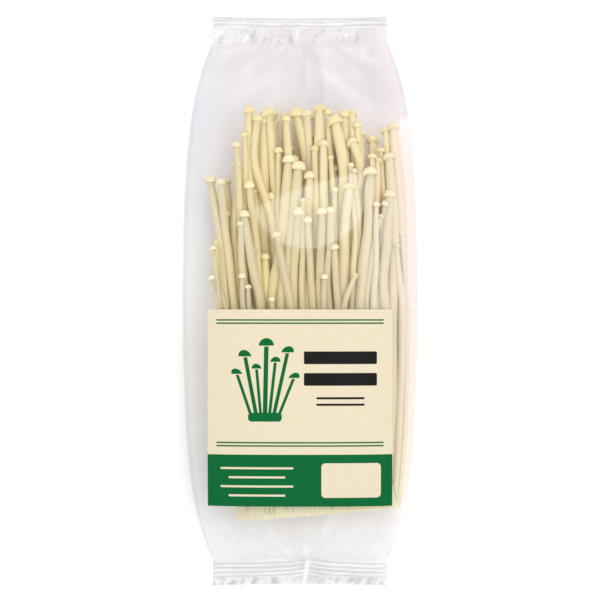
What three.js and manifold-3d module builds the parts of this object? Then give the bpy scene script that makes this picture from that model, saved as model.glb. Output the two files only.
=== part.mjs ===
// A pack of enoki mushrooms: one cut bunch in a clear film bag with a paper label on the front.
// The pack lies on its back. X is across it, Y runs from the cut feet to the caps, and Z is up.
// The origin is under the middle of the bag, on the surface that it lies on. All sizes are in millimetres.

import * as THREE from "three";
import { mergeVertices } from "three/addons/utils/BufferGeometryUtils.js";
import Module from "manifold-3d";

const wasm = await Module();
wasm.setup();

// Driving dimensions.
const bagLength = 214; // over both end seals
const bagWidth = 88.4; // across the middle
const bagHeight = 27; // over the bunch
const sealWidth = 65.4; // across each end seal
const sealDepth = 9.4; // from the cut edge of the film to the inside of the seal
const sealHeight = 8; // the end seals stand this far off the surface
const filmWall = 0.6; // film drawn thick enough to be a solid
const fitGap = 0.3; // between pieces that touch
const finWidth = 9; // the lengthwise seal, folded flat against the back
const finRise = 0.7; // the back film rides this far over it
const finBevel = 0.2; // at the edges of that seal
const labelWidth = 68.6;
const labelTop = -3.1; // along Y
const labelBottom = -76.3;
const labelWall = 0.6;
const bunchTop = 74; // the tallest caps, along Y
const footY = -80.4; // the knife's cut through the feet, along Y
const cutSlope = 0.085; // the cut runs a little askew
const footWidth = 61; // across the cut feet
const footDepth = 17; // from the back of the feet to the front
const bunchWidth = 75.2; // across the stems
const bunchDepth = 23.5; // from the back stems to the front ones
const bunchFloor = 1.8; // lowest stems, off the surface
const stemCount = 92;

// Caps that show on the front: place across and along the pack, width of the cap,
// and where its stem crosses lowY, at the top of the label.
const frontCaps = [
  [-19.2, 72.3, 4.4, -18.5], [-11.6, 71.4, 7.1, -4.1], [-15.7, 69.0, 4.2, -6.5], [-5.2, 68.7, 3.4, -3.8],
  [-1.7, 71.4, 6.0, 5.0], [2.5, 70.9, 4.1, 4.1], [7.2, 72.8, 4.7, 10.4], [10.5, 71.4, 3.4, 12.0],
  [12.9, 68.4, 6.0, 20.0], [16.5, 70.9, 4.5, 18.3], [19.5, 71.1, 3.9, 20.9], [21.4, 66.5, 3.4, 24.0],
  [22.0, 63.5, 5.0, 25.6], [19.3, 60.2, 4.9, 23.0], [35.0, 65.9, 4.5, 40.1], [32.2, 64.5, 3.9, 36.0],
  [30.3, 56.9, 3.0, 32.0], [33.3, 54.6, 4.7, 35.0], [27.0, 54.4, 3.4, 27.7], [28.9, 53.0, 3.9, 29.3],
  [26.4, 48.9, 5.6, 22.8], [33.6, 40.6, 4.9, 30.4], [28.4, 36.5, 3.0, 27.2], [31.7, 36.8, 3.4, 29.8],
  [30.3, 31.8, 3.4, 25.1], [18.5, 43.1, 4.9, 14.8], [19.8, 48.9, 3.4, 22.5], [19.0, 51.1, 2.4, 19.6],
  [8.8, 59.3, 4.2, 7.2], [5.5, 57.4, 3.6, 7.0], [11.3, 54.1, 2.6, 15.0], [3.6, 47.5, 4.5, 3.3],
  [-0.5, 51.1, 5.3, -6.0], [-3.9, 53.6, 4.9, -9.6], [-4.4, 58.2, 3.6, -6.0], [-8.0, 56.9, 3.4, -6.5],
  [-23.9, 58.8, 3.4, -20.0], [-20.6, 62.6, 3.0, -19.6], [-23.7, 51.6, 3.4, -22.0], [-19.0, 43.9, 4.1, -14.3],
  [-33.8, 46.1, 4.5, -27.8], [-29.7, 45.0, 3.4, -24.6], [-20.9, 32.9, 4.1, -15.1], [-22.0, 29.1, 3.0, -20.7],
  [0.0, 34.0, 4.9, -4.3], [2.8, 30.7, 3.4, 5.0], [8.3, 34.0, 4.1, 8.3], [11.3, 34.3, 3.4, 11.4],
  [-8.8, 24.9, 3.9, -3.4], [12.9, 20.6, 3.4, 12.9], [9.1, 9.5, 3.0, 9.1], [38.0, 25.8, 2.4, 39.8],
  [-32.4, 20.0, 2.8, -30.6], [-33.0, 9.0, 2.8, -31.7], [-21.5, 9.8, 2.8, -20.7], [-10.5, 1.0, 2.5, -10.4],
  [1.2, 37.8, 2.2, 1.5], [13.0, 41.9, 2.4, 13.2], [35.9, 20.9, 3.2, 35.6], [-19.3, 5.6, 2.6, -19.0],
  [20.6, 10.0, 2.6, 17.0],
];

// A seeded draw between low and high.
let seed = 20781;
function draw(low, high) {
  seed = (seed * 16807) % 2147483647;
  return low + ((high - low) * seed) / 2147483647;
}

const clamp = THREE.MathUtils.clamp;
const lerp = THREE.MathUtils.lerp;

function solidOf(geometry) {
  geometry.deleteAttribute("normal");
  geometry.deleteAttribute("uv");
  const merged = mergeVertices(geometry, 1e-4);
  return new wasm.Manifold(
    new wasm.Mesh({
      numProp: 3,
      vertProperties: new Float32Array(merged.attributes.position.array),
      triVerts: new Uint32Array(merged.index.array),
    }),
  );
}

function geometryOf(solid) {
  const mesh = solid.getMesh();
  const geometry = new THREE.BufferGeometry();
  geometry.setAttribute("position", new THREE.BufferAttribute(mesh.vertProperties, 3));
  geometry.setIndex(new THREE.BufferAttribute(mesh.triVerts, 1));
  return geometry;
}

// ---- The film bag: a tube of film, full in the middle and pressed flat at both end seals.

const sealLine = bagLength / 2 - sealDepth;
const sideReach = 24; // how soon the bag widens, going in from a seal
const riseReach = 14; // how soon the front rises to its full height
const backReach = 7; // how soon the back comes down to the surface
const domePower = 2.7;
const backPower = 3.4;
const backFlat = 1.16; // over 1, so that the middle of the back is flat

// How far the film has opened out at y: 0 at the seals, and 1 at the middle of the bag.
function opening(y, reach) {
  const fromSeal = Math.max(0, sealLine - Math.abs(y));
  return (1 - Math.exp(-fromSeal / reach)) / (1 - Math.exp(-sealLine / reach));
}

const halfWidth = (y) => lerp(sealWidth / 2, bagWidth / 2, opening(y, sideReach));
const topHeight = (y) => lerp(sealHeight + filmWall + fitGap / 2, bagHeight, opening(y, riseReach));
const settled = (y) => Math.min(1, opening(y, backReach) * 1.3); // 1 where the back lies down
const bottomHeight = (y) => lerp(sealHeight - filmWall - fitGap / 2, 0, settled(y));
const finLift = (y) => finRise * settled(y);
const sideHeight = (y) => lerp(bottomHeight(y), topHeight(y), lerp(0.5, 0.38, opening(y, riseReach)));

// Height of the film over the front at (x, y), with the film drawn in by inset.
function frontHeight(x, y, inset = 0) {
  const across = clamp(Math.abs(x) / (halfWidth(y) - inset), 0, 1);
  const side = sideHeight(y);
  return side + (topHeight(y) - inset - side) * Math.sqrt(1 - across ** domePower);
}

// Height of the film under the back, which rides over the folded fin seal.
function backHeight(x, y, inset) {
  const across = clamp(Math.abs(x) / (halfWidth(y) - inset), 0, 1);
  const reach = Math.min(1, backFlat * Math.sqrt(1 - across ** backPower));
  const overFin = x > -2 && x < finWidth + 2 ? finLift(y) : 0;
  return lerp(sideHeight(y), bottomHeight(y) + inset + overFin, reach);
}

// The film's section at y, counted from one side over the front and back along the underside.
// The fin seal is a strip that hangs from the outside of the film, in the groove over it.
const domeSteps = 16;
const backPlaces = [-0.95, -0.86, -0.76, -0.66, -0.36, 0.36, 0.66, 0.76, 0.86, 0.95];
const groovePlaces = [-3.5, -1.5, 0, finWidth, finWidth + 1.5, finWidth + 3.5];
const finPlaces = [finBevel, finWidth - finBevel];
function section(y, inset) {
  const half = halfWidth(y) - inset;
  const ridge = crimp(y);
  const points = [];
  for (let i = 0; i <= domeSteps; i++) {
    const across = Math.cos((i / domeSteps) * Math.PI);
    const x = half * Math.sign(across) * Math.abs(across) ** (2 / domePower);
    points.push(new THREE.Vector3(x, y, frontHeight(x, y, inset) + ridge));
  }
  const places = [...backPlaces.map((f) => f * half), ...groovePlaces, ...finPlaces];
  for (const x of places.sort((a, b) => a - b)) {
    const hang = inset === 0 && finPlaces.includes(x) ? finRise : 0;
    points.push(new THREE.Vector3(x, y, backHeight(x, y, inset) - hang + ridge));
  }
  return points;
}

// The pressed ridges that cross each end seal.
const crimpStep = sealDepth / 6;
const crimpRise = 0.25;
function crimp(y) {
  const fromSeal = Math.abs(y) - sealLine;
  if (fromSeal < crimpStep / 2) return 0;
  return Math.round(fromSeal / crimpStep) % 2 ? crimpRise : -crimpRise;
}

// A solid through rings of equal length. The last ring meets the first, or both ends are closed flat.
function loft(rings, meetsItself) {
  const count = rings[0].length;
  const positions = rings.flat().flatMap((p) => [p.x, p.y, p.z]);
  const index = [];
  const last = rings.length - (meetsItself ? 0 : 1);
  for (let r = 0; r < last; r++) {
    const next = ((r + 1) % rings.length) * count;
    for (let i = 0; i < count; i++) {
      const j = (i + 1) % count;
      index.push(r * count + i, next + i, r * count + j, r * count + j, next + i, next + j);
    }
  }
  if (!meetsItself) {
    const end = last * count;
    for (let i = 1; i + 1 < count; i++) index.push(0, i, i + 1, end, end + i + 1, end + i);
  }
  const geometry = new THREE.BufferGeometry();
  geometry.setAttribute("position", new THREE.Float32BufferAttribute(positions, 3));
  geometry.setIndex(index);
  return solidOf(geometry);
}

function filmStations() {
  const inBag = [3, 6.5, 11, 17, 26, 40, 62].map((fromSeal) => sealLine - fromSeal);
  const inSeal = [0, 1, 2, 3, 4, 5, 6].map((step) => sealLine + step * crimpStep).reverse();
  const half = [...inSeal, ...inBag];
  return [...half.map((y) => -y), 0, ...half.reverse()];
}

function filmBag() {
  const stations = filmStations();
  const outer = stations.map((y) => section(y, 0));
  const inner = stations.map((y) => section(y, filmWall)).reverse();
  return loft([...outer, ...inner], true);
}

// ---- The label: one sheet of paper stuck on the front of the film.

function label() {
  const columns = 14;
  const rows = 9;
  const lift = 2 * fitGap; // clear of the flat facets of the film below
  const rings = [];
  for (let r = 0; r <= rows; r++) {
    const y = lerp(labelBottom, labelTop, r / rows);
    const ring = [];
    for (let c = 0; c <= columns; c++) {
      const x = lerp(labelWidth / 2, -labelWidth / 2, c / columns);
      ring.push(new THREE.Vector3(x, y, frontHeight(x, y) + lift + labelWall));
    }
    for (let c = columns; c >= 0; c--) {
      const x = lerp(labelWidth / 2, -labelWidth / 2, c / columns);
      ring.push(new THREE.Vector3(x, y, frontHeight(x, y) + lift));
    }
    rings.push(ring);
  }
  return loft(rings, false);
}

// ---- The bunch: stems that grow from one foot, fan out, and each carry a small round cap.

const midY = -42; // the stems are placed at these heights along Y
const lowY = -2;
const upperY = 28;
const footMiddle = 8; // X of the bunch's middle at the foot
const topMiddle = -0.6; // X of its middle at the tallest caps
const footSpread = 70; // the bunch reaches its full width this far above the cut
const footSwell = 60; // and its full depth this far above it
const footDraw = 0.96; // the outermost stems are drawn in to the foot by this share
const footTaper = 0.84; // width of a stem at its foot, against its middle
const neckTaper = 0.68; // width of a stem under its cap, against its middle
const belowCut = 6; // the stems start this far under the cut, and the knife takes that off
const capFloor = 2.5; // the lowest caps, over the lowest stems
const frontLean = 0.85; // how far the short stems on the front lean out towards the film
const leftDrop = 16; // the hidden stems down the left side are this much shorter still
const frontSides = 6;
const hiddenSides = 5;

// Middle, half width and depth of the bunch at y.
const middleAt = (y) => THREE.MathUtils.mapLinear(y, footY, bunchTop, footMiddle, topMiddle);
const halfAt = (y) => lerp(footWidth, bunchWidth, clamp((y - footY) / footSpread, 0, 1)) / 2;
const depthAt = (y) => lerp(footDepth, bunchDepth, clamp((y - footY) / footSwell, 0, 1));

// One entry for each mushroom: cap place, widths, and its place among the stems from back to front.
function mushroomList() {
  const list = frontCaps.map(([capX, capY, capWidth, lowX]) => ({
    capX,
    capY,
    capWidth,
    lowX,
    depth: clamp(1 - 0.5 * (capY / bunchTop), 0, 1), // the taller, the further back
    sides: frontSides,
  }));
  while (list.length < stemCount) {
    const across = draw(-0.97, 0.97);
    const shorter = 50 * draw(0, 1) ** 2.2 + 15 * across ** 2; // the outermost are the shortest
    const capY = bunchTop - 3 - shorter - leftDrop * THREE.MathUtils.smoothstep(-across, 0.45, 0.7);
    list.push({
      capX: middleAt(capY) + across * halfAt(capY),
      capY,
      capWidth: draw(3, 5.4),
      lowX: middleAt(lowY) + across * halfAt(lowY) + draw(-2, 2),
      depth: draw(0, 0.55),
      sides: hiddenSides,
    });
  }
  for (const stem of list) stem.radius = clamp(stem.capWidth * 0.4, 1.1, 1.95) * draw(0.92, 1.08);
  return list;
}

// Pushes round sections apart until they lie side by side, and keeps them inside the bunch's outline.
const outlinePower = 2.4; // of the rounded box that the stems fill
function settle(places, y, rounds) {
  const middle = middleAt(y);
  const half = halfAt(y);
  const rise = depthAt(y) / 2;
  for (let round = 0; round < rounds; round++) {
    places.forEach((a, i) => {
      for (const b of places.slice(i + 1)) {
        const dx = b.x - a.x;
        const dz = b.z - a.z;
        const apart = Math.hypot(dx, dz) || 1e-3;
        const push = (a.radius + b.radius - apart) / 2;
        if (push <= 0) continue;
        a.x -= (dx / apart) * push;
        a.z -= (dz / apart) * push;
        b.x += (dx / apart) * push;
        b.z += (dz / apart) * push;
      }
    });
    for (const place of places) {
      const across = clamp((place.x - middle) / (half - place.radius), -1, 1);
      const up = (place.z - bunchFloor - rise) / (rise - place.radius);
      const limit = (1 - Math.abs(across) ** outlinePower) ** (1 / outlinePower);
      place.x = middle + across * (half - place.radius);
      place.z = bunchFloor + rise + clamp(up, -limit, limit) * (rise - place.radius);
      const ceiling = frontHeight(Math.abs(place.x) + place.radius, y, filmWall) - 2 * fitGap;
      place.z = Math.min(place.z, ceiling - place.radius);
    }
  }
}

// The lines that the stems follow, from the foot to the cap.
function stemPaths(list) {
  const firstPlace = (stem, y) => {
    const share = clamp((stem.capY - y) / (stem.capY - lowY), 0, 1);
    const x = lerp(stem.capX, stem.lowX, share);
    const z = bunchFloor + stem.radius + stem.depth * (depthAt(y) - 2 * stem.radius);
    return { x, z, radius: stem.radius };
  };
  // The place of a stem at y, further down, where the whole bunch is narrower.
  const drawnIn = (place, y, squeeze) => {
    const across = (place.x - middleAt(lowY)) / halfAt(lowY);
    const up = (place.z - bunchFloor) / depthAt(lowY);
    const x = middleAt(y) + across * halfAt(y) * squeeze;
    return new THREE.Vector3(x, y, bunchFloor + up * depthAt(y));
  };
  const low = list.map((stem) => firstPlace(stem, lowY));
  settle(low, lowY, 60);
  const tall = list.filter((stem) => stem.capY > upperY + 10);
  const upper = tall.map((stem) => {
    const place = firstPlace(stem, upperY);
    place.z = low[list.indexOf(stem)].z;
    return place;
  });
  settle(upper, upperY, 30);
  return list.map((stem, i) => {
    const foot = drawnIn(low[i], footY, footDraw);
    foot.y -= belowCut;
    const path = [foot, drawnIn(low[i], midY, 1)];
    if (stem.sides === frontSides) path.push(new THREE.Vector3(low[i].x, lowY, low[i].z));
    const t = tall.indexOf(stem);
    if (t >= 0) path.push(new THREE.Vector3(upper[t].x, upperY, upper[t].z));
    const highest = capCeiling(stem) - stem.capWidth / 2;
    const lies = clamp(path.at(-1).z, bunchFloor + capFloor, highest);
    const short = stem.sides === frontSides ? THREE.MathUtils.smoothstep(-stem.capY, -60, -30) : 0;
    path.push(new THREE.Vector3(stem.capX, stem.capY, lerp(lies, highest, frontLean * short)));
    return path;
  });
}

// The highest that a cap may reach under the film.
const capCeiling = (stem) =>
  frontHeight(Math.abs(stem.capX) + stem.capWidth / 2, stem.capY + 1, filmWall) - fitGap;

// A stem and cap turned in one piece, then bent along its path.
const capRim = [1, 0.2]; // radius and height on the cap, in cap radii
const capShoulder = [0.84, 0.76];
const capCrown = [0, 1.2];
const capBelow = 0.75; // from the middle of the cap down to its underside
const turnPerMm = 1.7; // turned about its stem, in radians for each millimetre across
function mushroom(path, stem) {
  const capRadius = stem.capWidth / 2;
  const marks = [0]; // how far along the path each of its points lies
  path.slice(1).forEach((p, i) => marks.push(marks[i] + p.distanceTo(path[i])));
  const underside = marks.at(-1) - capRadius * capBelow;
  const profile = [new THREE.Vector2(0, 0)];
  marks.slice(0, -1).forEach((mark, i) => {
    profile.push(new THREE.Vector2(stem.radius * (i ? 1 : footTaper), mark));
  });
  profile.push(new THREE.Vector2(stem.radius * neckTaper, underside));
  for (const [out, high] of [capRim, capShoulder, capCrown]) {
    profile.push(new THREE.Vector2(capRadius * out, underside + capRadius * high));
  }
  const geometry = new THREE.LatheGeometry(profile, stem.sides);
  const position = geometry.attributes.position;
  const turn = stem.capX * turnPerMm;
  for (let i = 0; i < position.count; i++) {
    const along = position.getY(i);
    const next = marks.findIndex((mark) => mark > along);
    const k = next < 0 ? path.length - 2 : next - 1;
    const way = path[k + 1].clone().sub(path[k]).normalize();
    const side = new THREE.Vector3(0, 0, 1).cross(way).normalize();
    const up = side.clone().cross(way);
    const r = Math.hypot(position.getX(i), position.getZ(i));
    const angle = Math.atan2(position.getZ(i), position.getX(i)) + turn;
    const place = path[k].clone().addScaledVector(way, along - marks[k]);
    place.addScaledVector(side, r * Math.cos(angle)).addScaledVector(up, r * Math.sin(angle));
    position.setXYZ(i, place.x, place.y, place.z);
  }
  return solidOf(geometry);
}

// The solid foot, where the stems grew into one another. It lies a little inside the outermost stems.
const footRings = [[-4, 0.97], [10, 0.94], [22, 0.72]]; // place over the cut, and share of the section
function foot() {
  const sides = 20;
  const inset = 0.8;
  const boxy = 0.8; // under 1 squares the section off
  const squared = (value) => Math.sign(value) * Math.abs(value) ** boxy;
  const ring = (y, share) => {
    const points = [];
    for (let i = 0; i < sides; i++) {
      const angle = (i / sides) * 2 * Math.PI;
      const x = middleAt(y) + (halfAt(y) - inset) * share * squared(Math.cos(angle));
      const up = (depthAt(y) / 2 - inset) * share * squared(Math.sin(angle));
      points.push(new THREE.Vector3(x, y, bunchFloor + depthAt(y) / 2 + up));
    }
    return points;
  };
  return loft(footRings.map(([high, share]) => ring(footY + high, share)), false);
}

// Everything below the cut.
function knife() {
  const reach = 40;
  const block = new THREE.BoxGeometry(2 * bagWidth, reach, 3 * bagHeight);
  block.translate(0, -reach / 2, 0);
  block.rotateZ(Math.atan(cutSlope));
  block.translate(0, footY, bagHeight / 2);
  return solidOf(block);
}

function mushroomBunch() {
  const list = mushroomList();
  const paths = stemPaths(list);
  const solids = list.map((stem, i) => mushroom(paths[i], stem));
  return wasm.Manifold.union([foot(), ...solids]).subtract(knife());
}

// ---- The pack, put together.

function piece(name, solid, material) {
  const mesh = new THREE.Mesh(geometryOf(solid), new THREE.MeshStandardMaterial(material));
  mesh.name = name;
  return mesh;
}

const pack = new THREE.Group();
pack.add(
  piece("mushroom_bunch", mushroomBunch(), { color: 0xf2e7c4, roughness: 0.6, metalness: 0 }),
  piece("film_bag", filmBag(), {
    color: 0xe9e6ee,
    roughness: 0.15,
    metalness: 0,
    transparent: true,
    opacity: 0.25,
  }),
  piece("label", label(), { color: 0xfbefcd, roughness: 0.5, metalness: 0 }),
);
export default pack;
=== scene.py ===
import math

import bpy
from mathutils import Matrix, Vector, noise


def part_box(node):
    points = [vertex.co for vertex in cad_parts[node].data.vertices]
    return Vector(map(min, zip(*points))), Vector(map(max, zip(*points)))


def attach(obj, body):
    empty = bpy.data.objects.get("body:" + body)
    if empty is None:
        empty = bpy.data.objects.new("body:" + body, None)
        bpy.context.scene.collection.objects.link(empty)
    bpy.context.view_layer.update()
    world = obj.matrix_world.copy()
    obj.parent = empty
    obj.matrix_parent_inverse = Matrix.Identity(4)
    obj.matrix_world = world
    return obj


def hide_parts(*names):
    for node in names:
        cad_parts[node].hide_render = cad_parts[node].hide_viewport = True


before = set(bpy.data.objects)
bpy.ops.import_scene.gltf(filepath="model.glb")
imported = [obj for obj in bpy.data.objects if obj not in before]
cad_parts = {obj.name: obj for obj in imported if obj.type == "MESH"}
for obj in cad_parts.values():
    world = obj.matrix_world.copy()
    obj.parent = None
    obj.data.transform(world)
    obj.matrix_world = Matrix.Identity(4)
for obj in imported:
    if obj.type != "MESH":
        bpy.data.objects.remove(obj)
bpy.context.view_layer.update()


# ---- The stage: a plain white table under a long lens that looks straight down on the pack.
# The light is a pale room with one wide soft lamp over the pack and a weaker one to its left.

MM = 0.001  # sizes are given in millimetres, and turned to metres where a thing is placed
view_span = 225.0  # what the camera sees across, at span_height
camera_height = 1200.0
span_height = 12.0  # where the bag is widest
camera_y = 0.4  # the middle of the view lies this far up the pack
scene = bpy.context.scene
camera_data = bpy.data.cameras.new("camera")
camera_data.sensor_width = 36.0
camera_data.lens = camera_data.sensor_width * (camera_height - span_height) / view_span
camera_data.clip_end = 10.0
camera = bpy.data.objects.new("camera", camera_data)
camera.location = (0.0, camera_y * MM, camera_height * MM)
scene.collection.objects.link(camera)
scene.camera = camera


def new_material(name):
    """A new material, with its node tree and its shader."""
    material = bpy.data.materials.new(name)
    material.use_nodes = True
    return material, material.node_tree, material.node_tree.nodes["Principled BSDF"]


def cover(piece, material):
    """Makes all of a piece of one material."""
    piece.data.materials.clear()
    piece.data.materials.append(material)


table_top = -0.1  # just under the back of the bag
bpy.ops.object.select_all(action="DESELECT")
bpy.ops.mesh.primitive_plane_add(size=4.0, location=(0.0, 0.0, table_top * MM))
table = bpy.context.object
table.name = "table"
table_paint, _, table_shader = new_material("table_paint")
table_shader.inputs["Base Color"].default_value = (0.98, 0.98, 0.98, 1.0)
table_shader.inputs["Roughness"].default_value = 0.9
cover(table, table_paint)


def soft_lamp(name, place, size, power):
    """A square lamp that faces the middle of the pack."""
    lamp_data = bpy.data.lights.new(name, "AREA")
    lamp_data.size = size
    lamp_data.energy = power
    lamp = bpy.data.objects.new(name, lamp_data)
    lamp.location = place
    lamp.rotation_euler = (-Vector(place)).to_track_quat("-Z", "Y").to_euler()
    scene.collection.objects.link(lamp)


soft_lamp("lamp_over", place=(0.32, 0.15, 1.0), size=0.9, power=5.0)
soft_lamp("lamp_left", place=(-0.9, 0.1, 0.7), size=0.6, power=1.2)

room = bpy.data.worlds.new("room")
room.use_nodes = True
room.node_tree.nodes["Background"].inputs["Color"].default_value = (1.0, 1.0, 1.0, 1.0)
room.node_tree.nodes["Background"].inputs["Strength"].default_value = 0.88
scene.world = room
scene.view_settings.view_transform = "Standard"
scene.cycles.transparent_max_bounces = 32  # a ray may cross many walls of film
scene.cycles.diffuse_bounces = 8  # pale stems light one another deep in the bunch


# ---- The bunch: one growth of enoki mushrooms, with long pale stems and small round caps.
# One mushroom is modelled upright, and each of the others is a copy, bent along its own line from
# the foot to the cap. Low down they have grown together into one foot, which is cut off square.

# The bunch is grown to fit the room in the bag, so the film's widths and heights come first.
bag_low, bag_high = (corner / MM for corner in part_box("film_bag"))
bag_length = bag_high.y - bag_low.y
bag_width = bag_high.x - bag_low.x
bag_height = 27.0
seal_width, seal_depth, seal_height = 65.4, 9.4, 8.0
film_wall = 0.6
fit_gap = 0.3
seal_line = bag_length / 2 - seal_depth
side_reach, rise_reach, back_reach = 24.0, 14.0, 7.0
back_haste = 1.3  # above 1, the back is down on the table before the bag is fully open
side_sealed, side_open = 0.5, 0.38  # where the side fold runs, as a share of the height
dome_power = 2.7


def clamp(value, low=0.0, high=1.0):
    return max(low, min(high, value))


def lerp(a, b, share):
    return a + (b - a) * share


def ease(low, high, value):
    """0 up to low and 1 from high on, with a smooth way between."""
    share = clamp((value - low) / (high - low))
    return share * share * (3 - 2 * share)


def opening(y, reach):
    """How far the film has opened out at y: 0 at the seals and 1 at the middle of the bag."""
    from_seal = max(0.0, seal_line - abs(y))
    return (1 - math.exp(-from_seal / reach)) / (1 - math.exp(-seal_line / reach))


def half_width(y):
    return lerp(seal_width / 2, bag_width / 2, opening(y, side_reach))


def top_height(y):
    return lerp(seal_height + film_wall + fit_gap / 2, bag_height, opening(y, rise_reach))


def settled(y):
    """How far the back of the bag has sunk to the table at y."""
    return min(1.0, opening(y, back_reach) * back_haste)


def bottom_height(y):
    return lerp(seal_height - film_wall - fit_gap / 2, 0.0, settled(y))


def side_height(y):
    share = lerp(side_sealed, side_open, opening(y, rise_reach))
    return lerp(bottom_height(y), top_height(y), share)


def front_height(x, y, inset=0.0):
    """Height of the front film at (x, y), drawn in by inset."""
    across = clamp(abs(x) / (half_width(y) - inset))
    side = side_height(y)
    return side + (top_height(y) - inset - side) * math.sqrt(1 - across**dome_power)


bunch_top = 74.0
foot_y = -80.4
cut_slope = 0.085
foot_middle, top_middle = 8.0, -0.6  # the bunch leans, so its middle wanders across the pack
foot_half, full_half, half_grows = 30.5, 37.6, 70.0
foot_depth, full_depth, depth_grows = 17.0, 23.5, 60.0
stem_count = 92
fill_count = 56
bunch_floor = 1.8
mid_y, low_y, upper_y = -42.0, -2.0, 28.0  # where the stems are laid out, from the foot up
upper_clear = 10.0  # stems that rise this far past upper_y have a place of their own there
run_out = 6.0  # the lines run on this far past the foot
outline_power = 2.4  # of the rounded box that the stems fill
left_drop = 16.0  # the hidden stems down the left side are this much shorter
left_reach = 0.92  # the stems stop at this share of the way out to the left
hidden_reach = 0.97
hidden_gap = 3.0  # from the top of the bunch to the highest hidden cap
hidden_drop = 50.0
hidden_crowd = 2.2  # above 1, more of the hidden caps lie high up
hidden_round = 15.0  # how much lower they lie at the sides
hidden_left = 0.06 - left_reach
fill_left, fill_right = 0.08 - left_reach, 0.93
short_fill_reach = 0.75  # short fillers stand only this far out from the middle
fill_top = 60.0
fill_drop = 22.0
fill_round = 16.0
stem_share = 0.4  # of the cap's width
thinnest, thickest = 1.1, 1.95
lowest_cap = 2.5  # over the floor of the bunch
front_lean = 0.85  # how far the short stems on the front lean out towards the film
foot_draw = 0.96  # how far the stems draw in together at the foot

# Caps on the front: place across and along the pack, width, and where the stem crosses low_y. A
# bent stem has the place of its knee as well.
front_caps = [
    (-19.2, 72.3, 4.4, -18.5), (-11.6, 71.4, 7.1, -4.1, -8.8, 42.0),
    (-15.7, 69.0, 4.2, -6.5, -17.2, 52.5), (-5.2, 68.7, 3.4, -3.8),
    (-1.7, 71.4, 6.0, 5.0, 2.6, 51.2), (2.5, 70.9, 4.1, 4.1), (7.2, 72.8, 4.7, 10.4),
    (10.5, 71.4, 3.4, 12.0), (12.9, 68.4, 6.0, 20.0, 16.7, 47.4), (16.5, 70.9, 4.5, 18.3),
    (19.5, 71.1, 3.9, 20.9), (21.4, 66.5, 3.4, 24.0), (22.0, 63.5, 5.0, 25.6),
    (19.3, 60.2, 4.9, 23.0, 22.8, 50.0), (35.0, 65.9, 4.5, 40.1), (32.2, 64.5, 3.9, 36.0),
    (30.3, 56.9, 3.0, 32.0), (33.3, 54.6, 4.7, 35.0), (27.0, 54.4, 3.4, 27.7),
    (28.9, 53.0, 3.9, 29.3), (26.4, 48.9, 5.6, 22.8), (33.6, 40.6, 4.9, 30.4),
    (28.4, 36.5, 3.0, 27.2), (31.7, 36.8, 3.4, 29.8), (30.3, 31.8, 3.4, 25.1, 27.8, 24.0),
    (18.5, 43.1, 4.9, 14.8), (19.8, 48.9, 3.4, 22.5), (19.0, 51.1, 2.4, 19.6),
    (8.8, 59.3, 4.2, 7.2), (5.5, 57.4, 3.6, 7.0), (11.3, 54.1, 2.6, 15.0), (3.6, 47.5, 4.5, 3.3),
    (-0.5, 51.1, 5.3, -6.0), (-3.9, 53.6, 4.9, -9.6), (-4.4, 58.2, 3.6, -6.0),
    (-8.0, 56.9, 3.4, -6.5), (-23.9, 58.8, 3.4, -20.0), (-20.6, 62.6, 3.0, -19.6),
    (-23.7, 51.6, 3.4, -22.0), (-19.0, 43.9, 4.1, -14.3), (-33.8, 46.1, 4.5, -27.8),
    (-29.7, 45.0, 3.4, -24.6), (-20.9, 32.9, 4.1, -15.1), (-22.0, 29.1, 3.0, -20.7),
    (0.0, 34.0, 4.9, -4.3), (2.8, 30.7, 3.4, 5.0), (8.3, 34.0, 4.1, 8.3), (11.3, 34.3, 3.4, 11.4),
    (-8.8, 24.9, 3.9, -3.4), (12.9, 20.6, 3.4, 12.9), (9.1, 9.5, 3.0, 9.1), (38.0, 25.8, 2.4, 39.8),
    (-32.4, 20.0, 2.8, -30.6), (-33.0, 9.0, 2.8, -31.7), (-21.5, 9.8, 2.8, -20.7),
    (-10.5, 1.0, 2.5, -10.4), (1.2, 37.8, 2.2, 1.5), (13.0, 41.9, 2.4, 13.2),
    (35.9, 20.9, 3.2, 35.6), (-19.3, 5.6, 2.6, -19.0), (20.6, 10.0, 2.6, 17.0),
]

growth = {"seed": 20781}


def draw(low, high):
    """A seeded draw between low and high."""
    growth["seed"] = growth["seed"] * 16807 % 2147483647
    return low + (high - low) * growth["seed"] / 2147483647


def bunch_middle(y):
    return lerp(foot_middle, top_middle, (y - foot_y) / (bunch_top - foot_y))


def bunch_half(y):
    return lerp(foot_half, full_half, clamp((y - foot_y) / half_grows))


def bunch_depth(y):
    return lerp(foot_depth, full_depth, clamp((y - foot_y) / depth_grows))


def left_fall(across):
    """How much lower a hidden cap lies down the left side of the bunch."""
    return left_drop * ease(0.45, 0.7, -across)


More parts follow.
